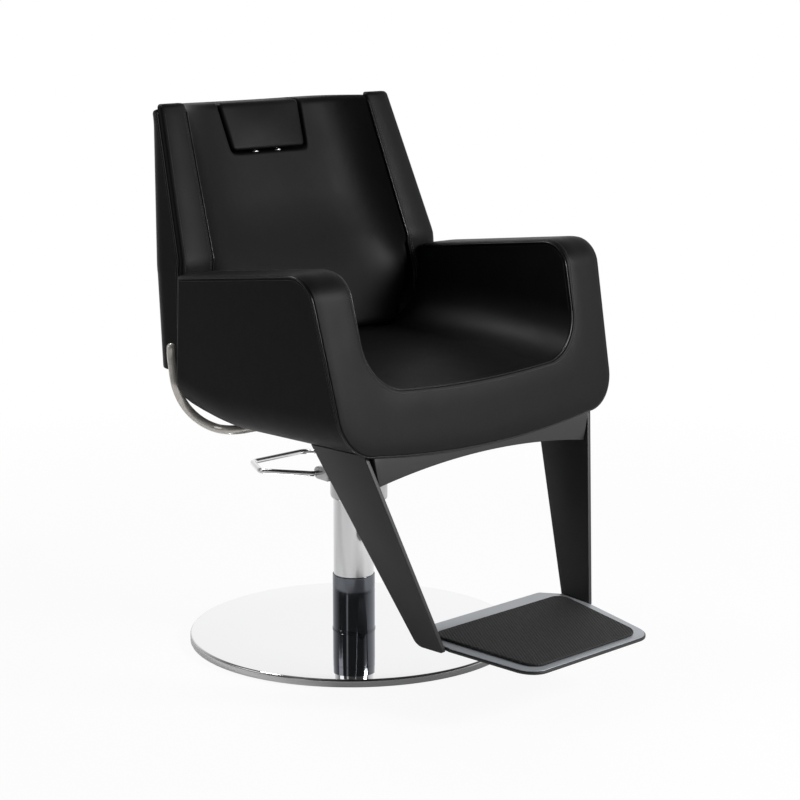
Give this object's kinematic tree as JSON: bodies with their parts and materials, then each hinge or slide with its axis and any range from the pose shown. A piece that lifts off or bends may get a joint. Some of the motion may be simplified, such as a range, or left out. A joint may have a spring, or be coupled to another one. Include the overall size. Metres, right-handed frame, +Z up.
{
  "type": "barber chair",
  "caption": "Hydraulic barber chair on a round disc base: padded tub seat with arms, reclining winged back, sliding headrest, pump pedal, recline lever and a fixed footrest.",
  "frame": {"origin": "centre of the base pad's underside on the floor, on the column's axis", "axes": "+Z up along the column, the sitter faces -Y, +X to the sitter's left"},
  "size_m": [0.6992, 0.8903, 0.9712],
  "materials": {
    "leather": "black upholstery with a fine grain, satin",
    "chrome": "bright chrome",
    "dark_chrome": "dark polished",
    "polished_steel": "mirror polished",
    "grey_metal": "satin casting",
    "black_paint": "black, satin",
    "satin_steel": "satin",
    "rubber": "matte, fine raised pattern",
    "bare_steel": "plain",
    "bronze": "turned",
    "plywood": "dark stained plywood"
  },
  "bodies": {
    "base": {"base_pad": "rubber", "base_weight_plate": "bare_steel", "base_cover": "polished_steel", "column_sleeve": "dark_chrome", "base_flange": "bare_steel", "flange_bolt_1": "bare_steel", "flange_bolt_2": "bare_steel", "flange_bolt_3": "bare_steel", "thrust_bearing": "bare_steel", "swivel_bush": "bronze"},
    "ram": {"ram_rod": "chrome", "ram_piston": "bronze"},
    "seat": {"column_tube": "chrome", "tube_end_bush": "bronze", "pump_head": "grey_metal", "pedal_spring": "bare_steel", "seat_mount_plate": "black_paint", "rail_left": "black_paint", "rail_right": "black_paint", "riser_left": "plywood", "riser_right": "plywood", "seat_board": "plywood", "rim_band": "leather", "side_panel_left": "leather", "side_panel_right": "leather", "arm_core_left": "plywood", "arm_core_right": "plywood", "seat_liner": "leather", "footrest_leg_left": "black_paint", "footrest_leg_right": "black_paint", "footplate": "satin_steel", "foot_mat": "rubber", "arch_panel": "black_paint", "footrest_cross_bar": "black_paint", "footrest_bolt_left": "bare_steel", "footrest_bolt_right": "bare_steel", "hinge_bracket_left": "black_paint", "hinge_bracket_right": "black_paint", "hinge_pin_left": "bare_steel", "hinge_pin_right": "bare_steel", "gas_anchor": "black_paint", "gas_cylinder": "dark_chrome", "lever_bracket": "black_paint"},
    "pedal": {"pump_pedal": "chrome"},
    "lever": {"recline_lever": "chrome"},
    "gas_rod": {"gas_rod": "chrome"},
    "backrest": {"back_wing_left": "leather", "back_wing_right": "leather", "back_cushion": "leather", "back_board": "plywood", "back_cover": "leather", "back_bracket_left": "black_paint", "back_bracket_right": "black_paint", "crank_bar": "bare_steel", "headrest_guide_left": "bare_steel", "headrest_guide_right": "bare_steel"},
    "headrest": {"headrest_pad": "leather", "headrest_post_left": "chrome", "headrest_post_right": "chrome"}
  },
  "joints": [
    {"name": "seat_swivel", "type": "hinge", "parent": "base", "child": "ram", "pos_m": [0, 0, 0.03], "axis": [0, 0, 1], "continuous": true},
    {"name": "seat_lift", "type": "slide", "parent": "ram", "child": "seat", "axis": [0, 0, 1], "range_m": [0, 0.135]},
    {"name": "pump_pedal", "type": "hinge", "parent": "seat", "child": "pedal", "pos_m": [0, 0.056, 0.304], "axis": [1, 0, 0], "range_deg": [-20, 0], "stiffness_Nm_per_rad": 1.5, "springref_deg": 34.38},
    {"name": "recline_lever", "type": "hinge", "parent": "seat", "child": "lever", "pos_m": [-0.15, 0.0095, 0.4252], "axis": [1, 0, 0], "range_deg": [-12, 0], "stiffness_Nm_per_rad": 3, "springref_deg": 34.38},
    {"name": "back_recline", "type": "hinge", "parent": "seat", "child": "backrest", "pos_m": [0, 0.15, 0.5002], "axis": [-1, 0, 0], "range_deg": [0, 35]},
    {"name": "gas_rod_slide", "type": "slide", "parent": "seat", "child": "gas_rod", "axis": [0, 0.9996, 0.0273], "range_m": [-0.045, 0]},
    {"name": "headrest_slide", "type": "slide", "parent": "backrest", "child": "headrest", "axis": [0, 0.3345, 0.9424], "range_m": [0, 0.09]}
  ],
  "couplings": [
    {"joint": "gas_rod_slide", "follows": "back_recline", "m_per_rad": -0.063963}
  ]
}
